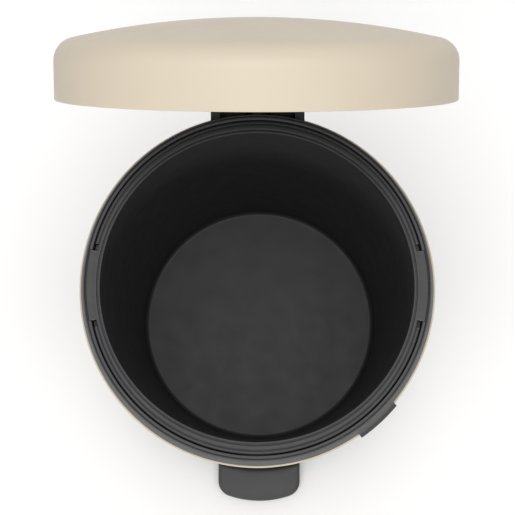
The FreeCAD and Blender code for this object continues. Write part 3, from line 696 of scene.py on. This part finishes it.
def make_body_can():
    """The painted steel body with a rolled lip and a welded seam at the back."""
    inner = BODY_RADIUS - BODY_WALL
    lip_low = BODY_TOP - LIP_HEIGHT
    outline = rounded([
        (inner, BODY_LOW, 0),
        (BODY_RADIUS, BODY_LOW, 0),
        (BODY_RADIUS, lip_low, 0.3),
        (LIP_RADIUS, lip_low, 0.7),
        (LIP_RADIUS, BODY_TOP, 0.7),
        (inner, BODY_TOP, 0.2),
    ], 6)

    def seam(radius, height, angle):
        """A shallow groove down the back."""
        away = abs(angle - math.pi / 2) / (SEAM_HALF_WIDTH / BODY_RADIUS)
        if radius > BODY_RADIUS - 0.1 and height < lip_low and away < 1:
            radius -= SEAM_DEPTH * (1 + math.cos(math.pi * away)) / 2
        return radius, height

    body = lathe("body_can", outline, turns=FINEST_TURNS, shift=seam)
    notch = block(
        "notch", (-NOTCH_HALF_WIDTH, 110, BODY_TOP - NOTCH_DEPTH), (NOTCH_HALF_WIDTH, 130, BODY_TOP + 2))
    combine(body, notch, "DIFFERENCE")
    slot = block("slot", (-SLOT_HALF_WIDTH, -130, BODY_LOW - 2), (SLOT_HALF_WIDTH, -110, BODY_SLOT_TOP))
    return combine(body, slot, "DIFFERENCE")


def make_base_skirt():
    """The plastic ring round the foot of the body, open for the pedal lever."""
    body_side = BODY_RADIUS + CLEARANCE
    outline = rounded([
        (BASE_BORE, FOOT_HEIGHT, 0.5),
        (BASE_RADIUS - 0.8, FOOT_HEIGHT, 1.2),
        (BASE_RADIUS, FOOT_HEIGHT + 6, 2.0),
        (BASE_RADIUS, BASE_TOP, 1.1),
        (body_side, BASE_TOP, 0.3),
        (body_side, BODY_LOW, 0),
        (BASE_BORE, BODY_LOW, 0.5),
    ], 6)
    skirt = lathe("base_skirt", outline, turns=FINE_TURNS)
    slot = block("slot", (-SLOT_HALF_WIDTH, -135, BODY_LOW), (SLOT_HALF_WIDTH, -110, BASE_TOP + 2))
    return combine(skirt, slot, "DIFFERENCE")


def make_foot_ring():
    """The rubber ring that the bin stands on, with a row of grip dents inside."""
    outline = rounded([
        (FOOT_BORE, 0, 0.4),
        (FOOT_RADIUS, 0, 0.4),
        (FOOT_RADIUS, FOOT_HEIGHT, 0),
        (FOOT_BORE, FOOT_HEIGHT, 0),
    ], 4)

    def dented(radius, height, angle):
        """Waves in the bore."""
        if radius < FOOT_BORE + 1:
            radius += 0.35 * (1 + math.cos(FOOT_DENTS * angle))
        return radius, height

    return lathe("foot_ring", outline, turns=FINEST_TURNS, shift=dented)


# ------------------------------------------------------------------- pedal


def pedal_outline(inset, arc_steps=10, bow_steps=24, rear_steps=16):
    """The pedal's plan as (x, y) from its pivot, shrunk by an inset."""
    half = PEDAL_HALF_WIDTH - inset
    corner = PEDAL_CORNER - inset
    bow = PEDAL_BOW - inset
    bow_centre = PEDAL_BOW - PEDAL_TIP - PIVOT.y
    centre = Vector((half - corner, bow_centre - math.sqrt((bow - corner) ** 2 - (half - corner) ** 2)))
    lean = math.atan2(centre.y - bow_centre, centre.x)
    right = []
    for step in range(arc_steps + 1):
        angle = lean * step / arc_steps
        right.append((centre.x + corner * math.cos(angle), centre.y + corner * math.sin(angle)))
    front = []
    for step in range(1, bow_steps):
        angle = lean + (-math.pi - 2 * lean) * step / bow_steps
        front.append((bow * math.cos(angle), bow_centre + bow * math.sin(angle)))
    left = [(-x, y) for x, y in reversed(right)]
    rear = []
    for step in range(rear_steps + 1):
        x = -half + 2 * half * step / rear_steps
        rear.append((x, -PIVOT.y - math.sqrt((PEDAL_ROOT + inset) ** 2 - x ** 2)))
    return right + front + left + rear


def make_pedal():
    """The moulded pedal: a nearly flat top that rolls over at its edges."""
    build = bmesh.new()
    rings = []
    for inset, height in PEDAL_LEVELS:
        rings.append([build.verts.new((x, y, height)) for x, y in pedal_outline(inset)])
    for low, high in zip(rings, rings[1:]):
        for i, vert in enumerate(low):
            j = (i + 1) % len(low)
            build.faces.new((vert, low[j], high[j], high[i]))
    build.faces.new(rings[0][::-1])
    build.faces.new(rings[-1])
    pedal = new_object("pedal", build)
    place = Matrix.Translation(PIVOT * MM) @ Matrix.Rotation(math.radians(PEDAL_TILT), 4, "X")
    pedal.data.transform(place)
    return pedal


# ---------------------------------------------------------------- dressing

stood_for = set()


def paint(made, material):
    """Make a material the only one of a piece."""
    made.data.materials.clear()
    made.data.materials.append(material)


def dress(made, body, material, node):
    """Give a new piece its material and its body, and let it stand for a CAD node."""
    paint(made, material)
    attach(made, body)
    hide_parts(node)
    stood_for.add(node)


def dress_cad_nodes():
    """Give the CAD nodes that still show their materials and softer edges."""
    slots = {part["node"]: part["material_slot"] for part in frame["record"]["subparts"]}
    for name, made in frame["nodes"].items():
        if name not in stood_for:
            paint(made, SLOT_MATERIALS[slots[name]])
            if name in SOFT_EDGES:
                soften(made, SOFT_EDGES[name])


dress(make_lid_shell(), "lid", CREAM, "lid_shell")
dress(make_lid_lining(), "lid", DARK, "lid_liner")
dress(make_collar(), "body", DARK, "top_collar")
dress(make_bucket(), "bucket", BUCKET, "inner_bucket")
dress(make_body_can(), "body", CREAM, "body_shell")
dress(make_base_skirt(), "body", DARK, "base_ring")
dress(make_foot_ring(), "body", RUBBER, "non_slip_ring")
dress(make_pedal(), "pedal", PEDAL, "pedal_pad")
dress_cad_nodes()

# ---------------------------------------------------------- floor and light


def make_floor():
    """A pale seamless floor."""
    build = bmesh.new()
    bmesh.ops.create_grid(build, x_segments=2, y_segments=2, size=6000)
    floor = new_object("floor", build)
    paper = Nodes("floor_paper")
    tone = paper.remap(paper.noise(500, detail=2), 0, 1)
    paper.colour(paper.mix(tone, (0.96, 0.96, 0.96), (0.98, 0.98, 0.98)))
    paper.set(Roughness=0.9, Specular_IOR_Level=0.1)
    floor.data.materials.append(paper.material)


def area_light(name, place, aim, size, power):
    """A rectangular softbox that points at aim."""
    data = bpy.data.lights.new(name, "AREA")
    data.shape = "RECTANGLE"
    data.size, data.size_y = size
    data.energy = power
    light = bpy.data.objects.new(name, data)
    bpy.context.scene.collection.objects.link(light)
    light.location = place
    light.rotation_euler = (Vector(aim) - Vector(place)).to_track_quat("-Z", "Y").to_euler()


def make_light():
    """A large soft light overhead, two weak ones in front and behind, and a dim white surround."""
    world = bpy.data.worlds.new("studio")
    world.use_nodes = True
    background = world.node_tree.nodes["Background"]
    background.inputs["Color"].default_value = (1.0, 1.0, 1.0, 1)
    background.inputs["Strength"].default_value = 0.26
    bpy.context.scene.world = world
    area_light("overhead", place=(0.0, -0.1, 5.0), aim=(0, 0, 0.3), size=(4.2, 3.6), power=205)
    area_light("front", place=(-0.5, -2.6, 1.3), aim=(0, 0, 0.3), size=(3.0, 0.7), power=24)
    area_light("back", place=(0.0, 2.3, 2.0), aim=(0, 0.1, 0.5), size=(2.0, 0.9), power=9)


def make_camera():
    """The viewing angle: almost straight down, from above the bin's front edge."""
    data = bpy.data.cameras.new("camera")
    data.sensor_width = 36.0
    data.lens = 112.55
    data.clip_start = 0.05
    data.clip_end = 50
    camera = bpy.data.objects.new("camera", data)
    bpy.context.scene.collection.objects.link(camera)
    camera.location = (0.0074, -0.1206, 1.4835)
    camera.rotation_euler = (math.radians(7.180), math.radians(0.346), math.radians(0.155))
    bpy.context.scene.camera = camera


make_floor()
make_light()
make_camera()
bpy.context.scene.view_settings.view_transform = "Standard"
